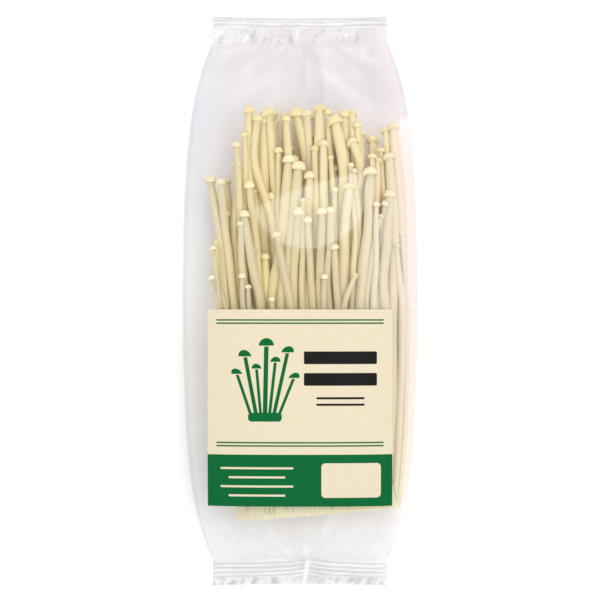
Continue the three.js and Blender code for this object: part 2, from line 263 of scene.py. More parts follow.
def mushroom_list():
    """Each mushroom's cap place and width, its low place, its depth in the bunch and its radius."""
    stems = []
    for cap_x, cap_y, cap_width, low_x, *knee in front_caps:
        depth = clamp(1 - 0.5 * cap_y / bunch_top)
        stems.append(dict(
            cap_x=cap_x, cap_y=cap_y, cap_width=cap_width, low_x=low_x, depth=depth, knee=knee,
        ))
    while len(stems) < stem_count:
        across = max(draw(-hidden_reach, hidden_reach), hidden_left)
        cap_y = bunch_top - hidden_gap - hidden_drop * draw(0, 1) ** hidden_crowd
        cap_y -= hidden_round * across**2
        cap_y -= left_fall(across)
        stems.append(dict(
            cap_x=bunch_middle(cap_y) + across * bunch_half(cap_y),
            cap_y=cap_y,
            cap_width=draw(3, 5.4),
            low_x=bunch_middle(low_y) + across * bunch_half(low_y) + draw(-2, 2),
            depth=draw(0, 0.4),
            knee=[],
        ))
    for stem in stems:
        radius = clamp(stem["cap_width"] * stem_share, thinnest, thickest)
        stem["radius"] = radius * draw(0.92, 1.08)
    return stems


def settle(places, y, rounds):
    """Pushes round sections apart until they lie side by side, and keeps them inside the bunch."""
    middle, half, rise = bunch_middle(y), bunch_half(y), bunch_depth(y) / 2
    for _ in range(rounds):
        for i, a in enumerate(places):
            for b in places[i + 1:]:
                dx = b["x"] - a["x"]
                dz = b["z"] - a["z"]
                apart = math.hypot(dx, dz) or 1e-3
                push = (a["radius"] + b["radius"] - apart) / 2
                if push <= 0:
                    continue
                push_x, push_z = dx / apart * push, dz / apart * push
                a["x"] -= push_x
                a["z"] -= push_z
                b["x"] += push_x
                b["z"] += push_z
        for place in places:
            radius = place["radius"]
            across = clamp((place["x"] - middle) / (half - radius), -left_reach, 1)
            up = (place["z"] - bunch_floor - rise) / (rise - radius)
            limit = (1 - abs(across) ** outline_power) ** (1 / outline_power)
            place["x"] = middle + across * (half - radius)
            place["z"] = bunch_floor + rise + clamp(up, -limit, limit) * (rise - radius)
            ceiling = front_height(abs(place["x"]) + radius, y, film_wall) - 2 * fit_gap
            place["z"] = min(place["z"], ceiling - radius)


def stem_lines(stems):
    """The points that each stem passes through, from its foot to its cap."""

    def first_place(stem, y):
        share = clamp((stem["cap_y"] - y) / (stem["cap_y"] - low_y))
        x = lerp(stem["cap_x"], stem["low_x"], share)
        z = bunch_floor + stem["radius"] + stem["depth"] * (bunch_depth(y) - 2 * stem["radius"])
        return dict(x=x, z=z, radius=stem["radius"])

    def drawn_in(place, y, squeeze):
        """The place of a stem at y, further down, where the whole bunch is narrower."""
        aside = (place["x"] - bunch_middle(low_y)) / bunch_half(low_y) * bunch_half(y) * squeeze
        z = (place["z"] - bunch_floor) * bunch_depth(y) / bunch_depth(low_y) + bunch_floor
        return Vector((bunch_middle(y) + aside, y, z))

    low = [first_place(stem, low_y) for stem in stems]
    settle(low, low_y, rounds=60)
    tall = [i for i, stem in enumerate(stems) if stem["cap_y"] > upper_y + upper_clear]
    upper = {i: dict(first_place(stems[i], upper_y), z=low[i]["z"]) for i in tall}
    settle(list(upper.values()), upper_y, rounds=30)
    lines = []
    for i, stem in enumerate(stems):
        foot = drawn_in(low[i], foot_y, foot_draw) - Vector((0, run_out, 0))
        line = [foot, drawn_in(low[i], mid_y, 1.0), Vector((low[i]["x"], low_y, low[i]["z"]))]
        if i in upper:
            line.append(Vector((upper[i]["x"], upper_y, upper[i]["z"])))
        cap_radius = stem["cap_width"] / 2
        ceiling = front_height(abs(stem["cap_x"]) + cap_radius, stem["cap_y"] + 1, film_wall)
        highest = ceiling - fit_gap - cap_radius
        lies = clamp(line[-1].z, bunch_floor + lowest_cap, highest)
        short = ease(-60, -30, -stem["cap_y"]) if i < len(front_caps) else 0.0
        cap_z = lerp(lies, highest, front_lean * short)
        if stem["knee"]:
            line.append(Vector((*stem["knee"], (line[-1].z + cap_z) / 2)))
        line.append(Vector((stem["cap_x"], stem["cap_y"], cap_z)))
        lines.append(line)
    return lines


def fill_lines():
    """Straight stems deep in the bunch, that close the gaps behind the others."""
    fills = []
    for i in range(fill_count):
        across = lerp(fill_left, fill_right, (i + 0.5) / fill_count) + draw(-0.02, 0.02)
        short = i % 2 and abs(across) < short_fill_reach
        if short:
            cap_y = draw(-4, 30)
        else:
            cap_y = fill_top - fill_round * across**2 - draw(0, fill_drop) - left_fall(across)
        depth = draw(0.5, 0.72) if short else draw(0.2, 0.5)
        radius = draw(1.5, 1.9)
        line = [
            Vector((
                bunch_middle(y) + across * bunch_half(y) * squeeze,
                y,
                bunch_floor + radius + depth * (bunch_depth(y) - 2 * radius),
            ))
            for y, squeeze in ((foot_y, foot_draw), (mid_y, 1.0), (cap_y, 0.97))
        ]
        fills.append((line, dict(
            cap_x=line[-1].x, cap_y=cap_y, cap_width=radius * 2.2, radius=radius,
        )))
    return fills


def bend_round(line, share_of_way):
    """The place on a smooth curve through the line's points, at a share of the way along it."""
    lengths = [(b - a).length for a, b in zip(line, line[1:])]
    along = share_of_way * sum(lengths)
    k = 0
    while k < len(lengths) - 1 and along > lengths[k]:
        along -= lengths[k]
        k += 1
    t = along / lengths[k]
    before = line[k - 1] if k else line[0] * 2 - line[1]
    after = line[k + 2] if k + 2 < len(line) else line[-1] * 2 - line[-2]
    start, end = line[k], line[k + 1]
    # Tangents are scaled by the stretch, so that a long and a short one meet without a loop.
    way_in = (end - before) * (lengths[k] / (end - before).length)
    way_out = (after - start) * (lengths[k] / (after - start).length)
    return (
        start * (2 * t**3 - 3 * t**2 + 1)
        + way_in * (t**3 - 2 * t**2 + t)
        + end * (3 * t**2 - 2 * t**3)
        + way_out * (t**3 - t**2)
    )


# The pattern mushroom stands on the origin. Its stem is 1 high and 1 in radius. Above that, heights
# and radii are in cap radii: a flat underside, a rolled rim and a domed top.
mushroom_sides, stem_rings = 12, 26
neck_radius = 0.8
cap_outline = [
    (0.74, 0.0), (0.9, -0.1), (1.0, 0.02), (1.02, 0.2), (0.97, 0.48), (0.85, 0.76), (0.64, 1.0),
    (0.35, 1.15),
]
cap_base, cap_crown = 1.2, 1.2  # where the cap starts on the pattern, and its height
cap_sits = 0.75  # how far below the end of its line a cap is put on, in cap radii


def edit_all():
    """Opens the piece that was made last in edit mode, with all of it selected."""
    bpy.ops.object.mode_set(mode="EDIT")
    bpy.ops.mesh.select_all(action="SELECT")


bpy.ops.object.select_all(action="DESELECT")
bpy.ops.mesh.primitive_circle_add(vertices=mushroom_sides, radius=1.0, fill_type="NOTHING")
pattern = bpy.context.object
pattern.name = "pattern_mushroom"
edit_all()
for _ in range(stem_rings):
    bpy.ops.mesh.extrude_edges_move(TRANSFORM_OT_translate={"value": (0.0, 0.0, 1.0 / stem_rings)})
bpy.ops.transform.resize(value=(neck_radius, neck_radius, 1.0))
ring_radius, ring_height = neck_radius, 1.0
for radius, height in cap_outline:
    rise = cap_base + height - ring_height
    bpy.ops.mesh.extrude_edges_move(TRANSFORM_OT_translate={"value": (0.0, 0.0, rise)})
    bpy.ops.transform.resize(value=(radius / ring_radius, radius / ring_radius, 1.0))
    ring_radius = radius
    ring_height += rise
bpy.ops.mesh.extrude_edges_move(
    TRANSFORM_OT_translate={"value": (0.0, 0.0, cap_base + cap_crown - ring_height)}
)
bpy.ops.mesh.merge(type="CENTER")
bpy.ops.mesh.select_all(action="DESELECT")
bpy.ops.mesh.select_non_manifold()
bpy.ops.mesh.edge_face_add()
bpy.ops.mesh.select_all(action="SELECT")
bpy.ops.mesh.normals_make_consistent(inside=False)
bpy.ops.object.mode_set(mode="OBJECT")


def even_out(points, count):
    """The same open line with count equal steps."""
    lengths = [math.dist(a, b) for a, b in zip(points, points[1:])]
    step = sum(lengths) / count
    spread = [points[0]]
    k, along = 0, 0.0
    for i in range(1, count):
        target = i * step
        while along + lengths[k] < target:
            along += lengths[k]
            k += 1
        share = (target - along) / lengths[k]
        spread.append(tuple(lerp(a, b, share) for a, b in zip(points[k], points[k + 1])))
    return [*spread, points[-1]]


stem_bury = 2.0  # the stems end this far inside the foot block
look_ahead = 0.004  # the share of its way over which a stem's direction is taken
foot_smooth = math.radians(50)


def cut_line(x):
    """Where the knife passed through the feet, at x."""
    return foot_y + cut_slope * x


def buried(x, y, z):
    """How deep in the bunch a place lies, from 0 near the front film to 1."""
    return ease(2.0, 9.0, front_height(x, y) - z)


def keep_marks(mesh, marks):
    """Writes the marks that a material reads: by name, a number or three for each point."""
    for name, first in marks[0].items():
        values = [point[name] for point in marks]
        if isinstance(first, tuple):
            layer = mesh.attributes.new(name, "FLOAT_VECTOR", "POINT")
            layer.data.foreach_set("vector", [part for value in values for part in value])
        else:
            mesh.attributes.new(name, "FLOAT", "POINT").data.foreach_set("value", values)


def grow(line, stem, name):
    """A copy of the pattern, bent along its line, with the marks that its colours need."""
    mesh = pattern.data.copy()
    mushroom = bpy.data.objects.new(name, mesh)
    scene.collection.objects.link(mushroom)
    cap_radius = stem["cap_width"] / 2
    length = sum((b - a).length for a, b in zip(line, line[1:]))
    neck = (length - cap_radius * cap_sits) / length
    sway = stem["sway"]
    marks = []

    def centre_at(share):
        point = bend_round(line, share)
        fade = ease(0.25, 0.6, share) * (1 - ease(0.86, 0.99, share))
        bend = math.sin(share * sway["turns"] + sway["start"]) * fade
        kink = max(0.0, 1 - abs(share - sway["kink_at"]) / 0.1) * sway["kink"]
        return point + Vector((sway["across"] * bend + kink, 0.0, sway["up"] * bend * 0.4))

    def frame_at(share):
        ahead, behind = centre_at(min(1.0, share + look_ahead)), centre_at(share - look_ahead)
        way = (ahead - behind).normalized()
        side = Vector((0, 0, 1)).cross(way).normalized()
        return way, side, way.cross(side)

    neck_centre = centre_at(neck)
    neck_way, neck_side, neck_up = frame_at(neck)
    nod = Matrix.Rotation(stem["nod"], 3, neck_side) @ Matrix.Rotation(stem["lean"], 3, neck_up)
    for vertex in mesh.vertices:
        x, y, z = vertex.co
        angle = math.atan2(y, x) + stem["turn"]
        out = math.hypot(x, y)
        if z <= 1.0001:
            share = z * neck
            way, side, up = frame_at(share)
            thick = stem["radius"] * lerp(0.9, 1.1, ease(0.0, 0.3, z))
            thick *= lerp(1.0, stem["neck"], ease(0.72, 1.0, z))
            thick *= 1 + 0.07 * noise.noise(Vector((z * 7, stem["turn"], 3.0)))
            flat = 1 + 0.08 * math.cos(2 * (angle + stem["turn"]))
            reach = (side * math.cos(angle) + up * math.sin(angle)) * (out * thick * flat)
            place = centre_at(share) + reach
            place.y = max(place.y, cut_line(place.x) + stem_bury)
        else:
            height = (z - cap_base) * cap_radius
            wave = 1 + 0.04 * math.sin(3 * angle + stem["turn"]) + 0.03 * math.sin(5 * angle)
            around = neck_side * math.cos(angle) + neck_up * math.sin(angle)
            local = around * (out * cap_radius * wave)
            place = neck_centre + nod @ (local + neck_way * height)
        vertex.co = place * MM
        # Painted light: the stems' tone is paler and whiter towards the right, the side that the
        # lamp lights; each stem also has a tone of its own at random.
        lit_from_right = ease(-5, 36, place.x)
        # Painted bounce light: deep in the bunch the stems are painted lighter and yellower, as if
        # lit by the pale stems around them, less strongly higher up.
        bounce_share = lerp(stem["painted_bounce"], 0.5, ease(-5, 35, place.y))
        grain_x, grain_y = math.cos(angle) * out * 1.6, math.sin(angle) * out * 1.6
        marks.append(dict(
            tone=clamp(stem["tone"] + lerp(-0.35, 0.45, lit_from_right)),
            along=min(z, 1.0),
            cap=clamp((z - cap_base + 0.15) / 0.6),
            painted_bounce=buried(*place) * bounce_share,
            # Painted shade: the stems grow darker low down and towards the left, away from the
            # lamp, the hidden ones more than those on the front.
            painted_shade=stem["painted_shade"] * ease(34, 2, place.y) * ease(31, 10, place.x),
            yellow=stem["yellow"],
            grain=(grain_x, grain_y, z * 2.2 + stem["turn"] * 9),
        ))
    keep_marks(mesh, marks)
    return mushroom


stems = mushroom_list()
lines = stem_lines(stems)
for line, stem in fill_lines():
    lines.append(line)
    stems.append(stem)
for i, stem in enumerate(stems):
    front = i < len(front_caps)
    stem["turn"] = stem["cap_x"] * 1.7
    # Hidden stems get more of the painted bounce light and of the painted shade than those on the
    # front.
    stem["painted_bounce"] = 0.6 if front else 0.85
    stem["painted_shade"] = 0.65 if front else 1.0
    stem["tone"] = draw(0.1, 0.7)
    stem["nod"] = draw(0.0, 1.0) ** 3 if front else draw(-0.3, 0.3)
    stem["lean"] = draw(-0.22, 0.22)
    stem["neck"] = draw(0.74, 0.95)
    stem["yellow"] = clamp(0.9 * ease(55, 70, stem["cap_y"]) + draw(-0.1, 0.25))
    stem["sway"] = dict(
        turns=draw(7, 13), start=draw(0, 6.3), across=draw(0.1, 0.5), up=draw(0, 0.8),
        kink=draw(-1.2, 1.2), kink_at=draw(0.7, 0.85),
    )
mushrooms = [grow(lines[i], stem, f"mushroom_{i:03d}") for i, stem in enumerate(stems)]
bpy.data.objects.remove(pattern)

# The foot, where the stems grew into one another, is a ribbed block with a flat cut face. Each of
# its rows has a height over the cut, a width and a depth. The first is the edge of the cut face.
foot_columns = 520
foot_rib = 1.7
foot_aside = 1.0  # the block stands this far left of the middle of the stems
foot_power = 0.8  # below 1, the foot is squarer than an ellipse
outline_steps = 1440
foot_rows = [
    (0.0, 1.0, 0.965), (0.0, 1.015, 0.98), (4.0, 1.01, 0.975),
    (9.0, 0.97, 0.95), (15.0, 0.88, 0.88), (22.0, 0.7, 0.7),
]
foot_outline = []
for step in range(outline_steps + 1):
    turn = step / outline_steps * 2 * math.pi
    wide, thick = (
        math.copysign(abs(part) ** foot_power, part) for part in (math.cos(turn), math.sin(turn))
    )
    foot_outline.append((wide * bunch_half(foot_y), thick * bunch_depth(foot_y) / 2))
foot_outline = even_out(foot_outline, foot_columns)[:-1]
bpy.ops.object.select_all(action="DESELECT")
bpy.ops.mesh.primitive_circle_add(vertices=foot_columns, radius=1.0, fill_type="NGON")
foot = bpy.context.object
edit_all()
for _ in foot_rows[1:]:
    bpy.ops.mesh.extrude_region_move(TRANSFORM_OT_translate={"value": (0.0, 0.0, 1.0)})
bpy.ops.object.mode_set(mode="OBJECT")
foot_marks = []
for vertex in foot.data.vertices:
    row = round(vertex.co.z)
    rise, wide, thick = foot_rows[row]
    turn = math.atan2(vertex.co.y, vertex.co.x) / (2 * math.pi)
    x_out, z_out = foot_outline[round(turn * foot_columns) % foot_columns]
    y = foot_y + rise
    round_place = Vector((x_out * 0.31, z_out * 0.31, rise * 0.02))
    rib = 0.5 * abs(math.sin((x_out + z_out) / foot_rib * math.pi + 3 * noise.noise(round_place)))
    swell = (rib - 0.3) / bunch_depth(foot_y)
    x_aside = x_out * (wide + swell * 0.4) * bunch_half(y) / bunch_half(foot_y)
    x = bunch_middle(y) - foot_aside + x_aside
    z_rise = z_out * (thick + swell) * bunch_depth(y) / bunch_depth(foot_y)
    if rise == 0.0:
        y = cut_line(x)
    z = bunch_floor + bunch_depth(y) / 2 + z_rise
    vertex.co = Vector((x, y, z)) * MM
    foot_marks.append(dict(
        tone=0.5,
        # The foot gets the same painted bounce light, growing in from its cut face.
        painted_bounce=buried(x, y, z) * ease(2, 12, rise),
        cut=1.0 if row == 0 else 0.0,
        grain=(x_out * 0.4, z_out * 0.4, y * 0.02),
    ))
keep_marks(foot.data, foot_marks)
edit_all()
bpy.ops.mesh.normals_make_consistent(inside=False)
bpy.ops.object.mode_set(mode="OBJECT")

bpy.ops.object.select_all(action="DESELECT")
for growing in (*mushrooms, foot):
    growing.select_set(True)
bpy.context.view_layer.objects.active = foot
bpy.ops.object.join()
bunch = bpy.context.object
bunch.name = "enoki_bunch"
bpy.ops.object.shade_smooth_by_angle(angle=foot_smooth)

flesh, flesh_tree, flesh_shader = new_material("enoki_flesh")


def marked(tree, name, output="Fac"):
    """One of a piece's own marks, as the output of a node."""
    node = tree.nodes.new("ShaderNodeAttribute")
    node.attribute_name = name
    return node.outputs[output]


def fill_socket(socket, value):
    """Gives a socket a plain value, or joins it to the output of a node."""
    if isinstance(value, bpy.types.NodeSocket):
        socket.id_data.links.new(value, socket)
    else:
        socket.default_value = value


def blend_colours(share, first, second):
    """A colour between first and second. Each of them is a colour or the output of a node."""
    node = share.id_data.nodes.new("ShaderNodeMix")
    node.data_type = "RGBA"
    fill_socket(node.inputs["Factor"], share)
    fill_socket(node.inputs[6], first)
    fill_socket(node.inputs[7], second)
    return node.outputs[2]


def layered(colour, *layers):
    """A colour with others laid over it. Each layer is the share that it hides, and its colour."""
    for share, over in layers:
        colour = blend_colours(share, colour, over)
    return colour


def shaped(value, low, high, new_low=0.0, new_high=1.0):
    """A value stretched smoothly from one range to another."""
    node = value.id_data.nodes.new("ShaderNodeMapRange")
    node.interpolation_type = "SMOOTHSTEP"
    for socket, given in zip(node.inputs, (value, low, high, new_low, new_high)):
        fill_socket(socket, given)
    return node.outputs["Result"]


stem_cream = (0.64, 0.56, 0.365, 1.0)
stem_white = (0.78, 0.70, 0.545, 1.0)
# Painted shade on the stems.
stem_painted_shade = (0.54, 0.465, 0.285, 1.0)
# Painted bounce light, deep in the bunch.
stem_painted_bounce = (0.89, 0.76, 0.37, 1.0)
foot_straw = (0.82, 0.76, 0.53, 1.0)
cap_cream = (0.85, 0.78, 0.55, 1.0)
cap_yellow = (0.83, 0.75, 0.43, 1.0)
cap_rim = (0.72, 0.61, 0.31, 1.0)
cut_cream = (0.78, 0.71, 0.50, 1.0)
cut_tan = (0.47, 0.36, 0.19, 1.0)
grain_texture = flesh_tree.nodes.new("ShaderNodeTexNoise")
grain_texture.inputs["Scale"].default_value = 2.2
grain_texture.inputs["Detail"].default_value = 4.0
fill_socket(grain_texture.inputs["Vector"], marked(flesh_tree, "grain", "Vector"))
streaks = shaped(grain_texture.outputs["Fac"], 0.5, 0.75, 0.0, 0.5)
near_foot = shaped(marked(flesh_tree, "along"), 0.0, 0.5, 0.7, 0.0)
cap_mark = marked(flesh_tree, "cap")
on_cap = shaped(cap_mark, 0.0, 0.08)
over_rim = shaped(cap_mark, 0.1, 0.5)
cap_top = blend_colours(marked(flesh_tree, "yellow"), cap_cream, cap_yellow)
# The cut ends of the stems are pale cells, with tan flesh between them.
cut_cells = flesh_tree.nodes.new("ShaderNodeTexVoronoi")
cut_cells.feature = "DISTANCE_TO_EDGE"
cut_cells.inputs["Scale"].default_value = 420.0
flesh_place = flesh_tree.nodes.new("ShaderNodeTexCoord")
fill_socket(cut_cells.inputs["Vector"], flesh_place.outputs["Object"])
in_cell = shaped(cut_cells.outputs["Distance"], 0.02, 0.16)
# Over the stems' own colours lie painted shade and painted bounce light, then the cut face.
flesh_colour = layered(
    stem_cream,
    (marked(flesh_tree, "tone"), stem_white),
    (marked(flesh_tree, "painted_shade"), stem_painted_shade),
    (streaks, cap_rim),
    (near_foot, foot_straw),
    (on_cap, blend_colours(over_rim, cap_rim, cap_top)),
    (marked(flesh_tree, "painted_bounce"), stem_painted_bounce),
    (marked(flesh_tree, "cut"), blend_colours(in_cell, cut_tan, cut_cream)),
)
fill_socket(flesh_shader.inputs["Base Color"], flesh_colour)
flesh_shader.inputs["Roughness"].default_value = 0.48
flesh_shader.inputs["Subsurface Weight"].default_value = 0.5
flesh_shader.inputs["Subsurface Radius"].default_value = (1.0, 0.8, 0.5)
flesh_shader.inputs["Subsurface Scale"].default_value = 0.0015
flesh_bump = flesh_tree.nodes.new("ShaderNodeBump")
flesh_bump.inputs["Strength"].default_value = 0.25
flesh_bump.inputs["Distance"].default_value = 0.0002
fill_socket(flesh_bump.inputs["Height"], grain_texture.outputs["Fac"])
fill_socket(flesh_shader.inputs["Normal"], flesh_bump.outputs["Normal"])
cover(bunch, flesh)
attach(bunch, "root")
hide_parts("mushroom_bunch")


# ---- The film bag: one sheet of clear film, wrapped round the bunch and sealed across both ends.
# The sheet starts flat. Its rows are laid along the pack and its columns round it, then the two
# edges are joined, and the film gets its thickness.

film_columns = 200
front_columns = 120
film_rows = 216
seal_rows = 20
film_skin = 0.12
ply_gap = 0.35  # between the plies of an end seal
back_power = 3.4
back_flat = 1.16
fin_width = 9.0
fin_rise = 0.7
label_width = 68.6
label_top, label_bottom = -3.1, -76.3
crimp_pitch = 1.7
fold_x = 3.0  # where the folded fin seal passes through the end seals
gather_reach, fan_reach = 7.0, 16.0  # how far these folds run out from an end seal
top_lines, bottom_lines = (4.6, 6.0), (6.2, 7.4)  # where the pressed lines start and end
# The half-moon of painted reflection over the caps.
shine_x, shine_y, shine_radius, shine_tilt = 3.0, 41.6, 22.6, 0.34
band_left, band_right = (21.8, 22.6), (28.6, 27.8)  # the crisp edges of a dull band at the top
front_fold, back_fold = -0.7, 0.25  # how far the folds draw in the front and the back
end_bow = 0.7  # the cut ends of the bag draw in this much at their middle
ring_steps = 140
film_smooth = math.radians(40)


def seal_press(y):
    """1 in the end seals, fading to 0 just inside them."""
    return ease(-2.5, 0.5, abs(y) - seal_line)


def back_height(x, y):
    across = clamp(abs(x) / half_width(y))
    reach = min(1.0, back_flat * math.sqrt(1 - across**back_power))
    over_fin = ease(-4.0, -1.0, x) * (1 - ease(fin_width + 1, fin_width + 4, x))
    return lerp(side_height(y), bottom_height(y) + fin_rise * settled(y) * over_fin, reach)


def ridge(x, y, place):
    """A sharp-crested noise from 0 to 1."""
    return 1 - min(1.0, 2.4 * abs(noise.noise(Vector((x, y, place)))))


def press_phase(x, y):
    """The turn of an end seal's pressed lines, which sag and draw in to the folded fin seal."""
    depth = abs(y) - seal_line
    sag = 0.5 * noise.noise(Vector((x * 0.06, math.copysign(1.0, y), 0.0)))
    pinch = math.exp(-abs(x - fold_x) / 7.0) * (1.9 if y < 0 else 0.0)
    return (depth + sag + pinch) / crimp_pitch * 2 * math.pi


def crumples(x, y):
    """Angular facets that lean across an end seal, from -1 to 1, which are painted as glints and
    shade and don't move the film.
    """
    facet = noise.voronoi(Vector((0.65 * x - 0.38 * y, 0.16 * x + 0.28 * y, 2.0)))[1][0]
    cluster = noise.noise(Vector((x * 0.09, y * 0.02, 9.0)))
    return clamp(2.2 * noise.noise(facet * 3.7) + 0.6 * cluster, -1.0, 1.0)


def crimp(x, y):
    """Height of the pressed lines and crumples of an end seal, which both plies share."""
    depth = abs(y) - seal_line
    if depth < -1.0:
        return 0.0
    crumple = 0.4 * noise.noise(Vector((x * 0.16, depth * 0.22, y))) * ease(0, 4, depth)
    return (0.13 * math.sin(press_phase(x, y)) + crumple) * ease(-1.0, 0.6, depth)


def crease(x, y, front):
    """Depth of the shallow folds in the free film, and the strength of the painted glints along
    them, from 0 to 1.
    """
    end = math.copysign(1.0, y)
    from_seal = max(0.0, seal_line - abs(y))
    gather = ridge(x * 0.2 + from_seal * 0.02, from_seal * 0.04, end) ** 2
    gather *= math.exp(-from_seal / gather_reach)
    # Folds that fan out from where the fin seal is caught in the end seal, and long slanting ones.
    fan_turn = math.atan2(x - fold_x, from_seal + 4)
    fan = ridge(fan_turn * 2.6, 0.3 * end, 7.0) ** 3 * math.exp(-from_seal / fan_reach)
    slant = x * 0.045 + abs(y) * 0.03 * (1 if x > 0 else -1)
    drape = ridge(slant, y * 0.012, 5.0 if front else -5.0) ** 4
    calm = 1 - 0.8 * ease(22, 40, from_seal)
    beside = max(abs(x) - label_width / 2, y - label_top, label_bottom - y)
    clear_of_label = ease(0.5, 5, beside) if front else 1.0
    height = (0.8 * gather + 0.7 * fan + 0.5 * drape * calm) * clear_of_label
    return height, clamp(0.7 * gather + 0.7 * fan + 0.45 * drape * calm) * clear_of_label


def painted_shine_patch(x, y):
    """The half-moon over the caps where a painted reflection makes the film shine, with a crisp
    edge.
    """
    inside = ease(shine_radius, shine_radius - 0.8, math.hypot(x - shine_x, y - shine_y))
    chord = shine_y + 1.4 + shine_tilt * (x - shine_x) - 0.005 * (x - shine_x) ** 2
    return inside * ease(0.4, -0.4, y - chord)


def pressed_look(x, y):
    """The painted glints on the pressed lines, crumples and fold of an end seal, and the painted
    shade in the hollows, along the edge and beside the fold.
    """
    depth = abs(y) - seal_line
    inside = ease(-1.2, 0.3, depth)
    line = math.sin(press_phase(x, y))
    patch = noise.noise(Vector((x * 0.11, depth * 0.3, y * 0.02 + 4.0)))
    if y > 0:
        lines_here = ease(*top_lines, depth)
        crumpled = (1 - lines_here) * (1 - ease(*band_left, x))
        fold = 0.0
    else:
        lines_here = 1 - ease(*bottom_lines, depth)
        crumpled = 1 - lines_here
        fold_turn = math.atan2(x - fold_x, 9.5 - depth)
        fold = math.exp(-((x - fold_x + 0.15 * depth) / 0.8) ** 2)
        fan = ridge(fold_turn * 3.2, 0.5, 3.0) ** 4 * math.exp(-abs(x - fold_x) / 5.0)
        fold = max(fold, 0.6 * fan)
    facet_light = crumples(x, y) * crumpled
    seal_glint = lines_here * clamp(1.3 * line - 0.2) * (0.8 + 0.8 * patch)
    seal_glint += clamp(facet_light * 1.1 - 0.3) + fold
    dark = lines_here * clamp(-line - 0.1) * (0.85 - 0.5 * patch)
    dark += clamp(-facet_light * 1.1 - 0.25)
    if y > 0:
        dark += 0.25 * ease(*band_left, x)
        edge_line = ease(seal_depth - 0.9, seal_depth - 0.4, depth)
        seal_glint *= 1 - edge_line
        dark = max(dark, 0.75 * edge_line)
    else:
        beside_fold = math.exp(-((x - fold_x - 4.5) / 2.5) ** 2)
        dark += 0.24 + 0.3 * beside_fold + crumpled * clamp(-facet_light * 1.5 - 0.1)
    return clamp(seal_glint) * inside, clamp(dark) * inside * (1 - clamp(fold))


def film_ring(y):
    """Places round the film at y, from the right side over the front and back under the pack."""
    half = half_width(y)
    squeeze = seal_press(y)
    front, back = [], []
    for i in range(ring_steps + 1):
        turn = math.cos(i / ring_steps * math.pi)
        x = half * math.copysign(abs(turn) ** (2 / dome_power), turn)
        front.append((x, lerp(front_height(x, y), seal_height + ply_gap / 2, squeeze)))
        x = -half * math.copysign(abs(turn) ** (2 / back_power), turn)
        back.append((x, lerp(back_height(x, y), seal_height - ply_gap / 2, squeeze)))
    front = even_out(front, front_columns)
    back = even_out(back, film_columns - front_columns)
    return [(x, z, True) for x, z in front] + [(x, z, False) for x, z in back[1:]]


row_places = [seal_line + seal_depth * (1 - i / seal_rows) for i in range(seal_rows)]
free_rows = film_rows - 2 * seal_rows
row_places += [seal_line * (1 - 2 * i / free_rows) for i in range(free_rows + 1)]
row_places += [-seal_line - seal_depth * (i + 1) / seal_rows for i in range(seal_rows)]


def flat_sheet(name, columns, rows):
    """A flat sheet, 1 wide and 1 long, which is then laid in place."""
    bpy.ops.object.select_all(action="DESELECT")
    bpy.ops.mesh.primitive_grid_add(x_subdivisions=columns, y_subdivisions=rows, size=1.0)
    bpy.context.object.name = name
    return bpy.context.object


film = flat_sheet("clear_film", film_columns, film_rows)
film_rings = [film_ring(y) for y in row_places]
film_marks = []
for vertex in film.data.vertices:
    column = round((0.5 + vertex.co.x) * film_columns)
    row = round((0.5 - vertex.co.y) * film_rows)
    y = row_places[row]
    x, z, front = film_rings[row][column]
    edge = 1 - clamp(abs(x) / half_width(y)) ** 6
    folds, fold_glint = crease(x, y, front)
    pressed = seal_press(y)
    free = 1 - pressed
    bend = folds * edge * free * (front_fold if front else back_fold)
    if not front:
        bend *= 1 - settled(y)
    bow = end_bow * (1 - (x / (seal_width / 2)) ** 2)
    bow *= ease(0, seal_depth, abs(y) - seal_line)
    vertex.co = Vector((x, y - math.copysign(bow, y), z + bend + crimp(x, y))) * MM
    # Painted glints and painted shade of the end seals.
    seal_glint, dark = pressed_look(x, y)
    band = ease(*band_left, x) * ease(*band_right, x) * ease(62, 84, y) * free
    # The film lies on the stems inside the bunch's outline, but for a slant at its top left.
    inside = ease(1.04, 0.9, abs(x - bunch_middle(y)) / (bunch_half(y) + 1))
    inside *= ease(bunch_top + 3, bunch_top - 8, y) * ease(foot_y - 4, foot_y + 3, y)
    inside *= ease(-4, 2, x - lerp(-44, -23, ease(12, 30, y)))
    # Painted shade: the film is made denser, and so darker over the table, on the upper left away
    # from the lamp; the top right is made a little darker as well.
    left_shade = ease(18, 42, -x) * ease(32, 62, y)
    top_right_darkening = 0.5 * ease(22, 36, x) * ease(66, 80, y)
    # Painted glare lies down the right side, and fades where the film turns under the pack.
    lit = ease(24, 46, x) ** 2 * ease(72, 62, y)
    lit *= lerp(0.5, 1.0, ease(-8, 4, y))
    turned_under = 0.0 if front else ease(side_height(y) - 1, bottom_height(y) + 1, z)
    film_marks.append(dict(
        # Painted glints along the folds, and on the pressed lines, crumples and fold of the end
        # seals.
        painted_glint=clamp(fold_glint * edge * free + seal_glint),
        shade=dark + (0.22 * band if front else 0.0),
        # A painted reflection on the front film over the caps.
        painted_shine=painted_shine_patch(x, y) if front else 0.0,
        contact=inside,
        rim=ease(0.94, 1.0, abs(x) / half_width(y)) * free,
        darkening=(left_shade + top_right_darkening) * free,
        glare=lit * free * (1 - turned_under),
    ))
keep_marks(film.data, film_marks)
edit_all()
bpy.ops.mesh.remove_doubles(threshold=0.00001)
bpy.ops.mesh.flip_normals()
bpy.ops.object.mode_set(mode="OBJECT")


def thicken(sheet, thickness, offset):
    """Gives a sheet its thickness: outwards where offset is 1, and inwards where it is -1."""
    wall = sheet.modifiers.new("thicken", "SOLIDIFY")
    wall.thickness = thickness * MM
    wall.offset = offset
    bpy.ops.object.modifier_apply(modifier="thicken")


thicken(film, film_skin, offset=-1.0)
bpy.ops.object.shade_smooth()

